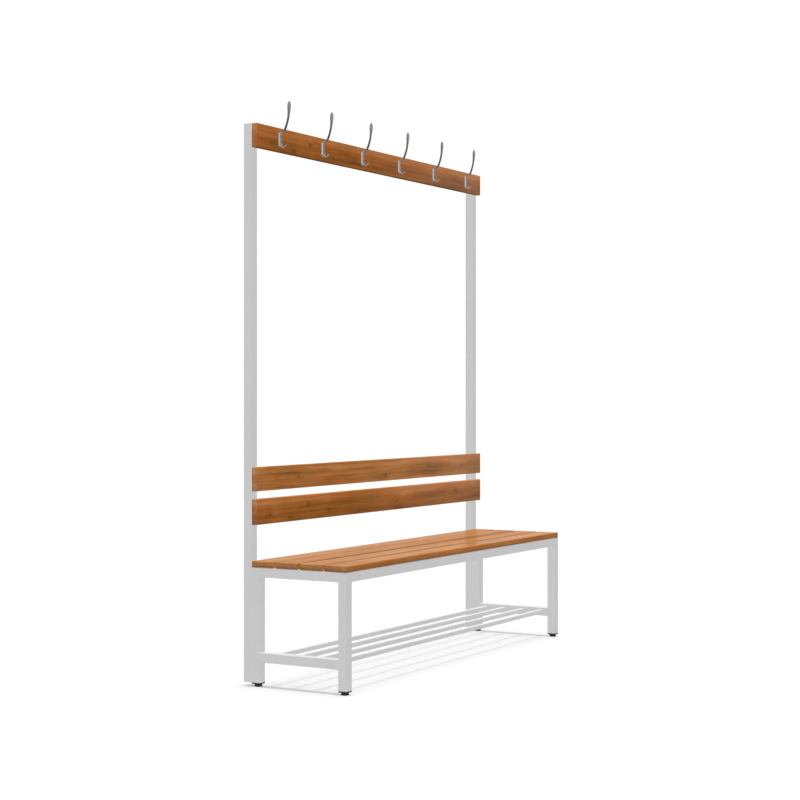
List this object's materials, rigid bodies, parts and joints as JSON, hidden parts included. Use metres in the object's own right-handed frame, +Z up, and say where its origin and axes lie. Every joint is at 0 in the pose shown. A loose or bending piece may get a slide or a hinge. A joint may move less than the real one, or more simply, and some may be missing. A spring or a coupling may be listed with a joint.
{
  "type": "cloakroom bench",
  "caption": "Single-sided cloakroom bench: slatted timber seat and back on a square-tube steel frame, a tall coat rail with three-pronged hooks, and a barred shoe rack below.",
  "frame": {"origin": "on the floor, in the middle of the bench's length and of its whole depth", "axes": "+Z up, +X along the bench to the right seen from the front, +Y to the back; the seat faces -Y"},
  "size_m": [1.5, 0.3804, 1.8265],
  "materials": {
    "timber_seat": "satin lacquer over orange-brown timber, lengthwise grain",
    "timber_back": "satin lacquer over orange-brown timber, lengthwise grain",
    "frame_paint": "light grey powder coat, fine texture",
    "cap_plastic": "light grey moulded plastic",
    "foot_plastic": "black moulded plastic",
    "zinc_steel": "zinc plated",
    "hook_metal": "satin nickel plated casting"
  },
  "bodies": {
    "bench": {"seat_slat_1": "timber_seat", "seat_slat_2": "timber_seat", "seat_slat_3": "timber_seat", "seat_slat_4": "timber_seat", "back_slat_lower": "timber_back", "back_slat_upper": "timber_back", "coat_rail": "timber_back", "front_leg_left": "frame_paint", "rear_leg_left": "frame_paint", "seat_side_rail_left": "frame_paint", "lower_stretcher_left": "frame_paint", "upright_left": "frame_paint", "front_leg_right": "frame_paint", "rear_leg_right": "frame_paint", "seat_side_rail_right": "frame_paint", "lower_stretcher_right": "frame_paint", "upright_right": "frame_paint", "seat_cross_rail": "frame_paint", "seat_front_rail": "frame_paint", "seat_rear_rail": "frame_paint", "rack_bar_1": "frame_paint", "rack_bar_2": "frame_paint", "rack_bar_3": "frame_paint", "rack_bar_4": "frame_paint", "upright_top_cap_left": "cap_plastic", "upright_bottom_cap_left": "cap_plastic", "upright_top_cap_right": "cap_plastic", "upright_bottom_cap_right": "cap_plastic", "foot_insert_front_left": "foot_plastic", "foot_insert_front_right": "foot_plastic", "foot_insert_rear_left": "foot_plastic", "foot_insert_rear_right": "foot_plastic", "coat_hook_1": "hook_metal", "coat_hook_2": "hook_metal", "coat_hook_3": "hook_metal", "coat_hook_4": "hook_metal", "coat_hook_5": "hook_metal", "coat_hook_6": "hook_metal", "hook_screws": "hook_metal", "seat_slat_screws": "zinc_steel", "back_slat_screws": "zinc_steel", "coat_rail_screws": "zinc_steel", "upright_bolts": "zinc_steel", "upright_nuts": "zinc_steel"},
    "foot_front_left": {"foot_pad_front_left": "foot_plastic", "foot_stud_front_left": "zinc_steel"},
    "foot_front_right": {"foot_pad_front_right": "foot_plastic", "foot_stud_front_right": "zinc_steel"},
    "foot_rear_left": {"foot_pad_rear_left": "foot_plastic", "foot_stud_rear_left": "zinc_steel"},
    "foot_rear_right": {"foot_pad_rear_right": "foot_plastic", "foot_stud_rear_right": "zinc_steel"}
  },
  "joints": [
    {"name": "foot_front_left_level", "type": "slide", "parent": "bench", "child": "foot_front_left", "axis": [0, 0, -1], "range_m": [0, 0.012]},
    {"name": "foot_front_right_level", "type": "slide", "parent": "bench", "child": "foot_front_right", "axis": [0, 0, -1], "range_m": [0, 0.012]},
    {"name": "foot_rear_left_level", "type": "slide", "parent": "bench", "child": "foot_rear_left", "axis": [0, 0, -1], "range_m": [0, 0.012]},
    {"name": "foot_rear_right_level", "type": "slide", "parent": "bench", "child": "foot_rear_right", "axis": [0, 0, -1], "range_m": [0, 0.012]}
  ]
}
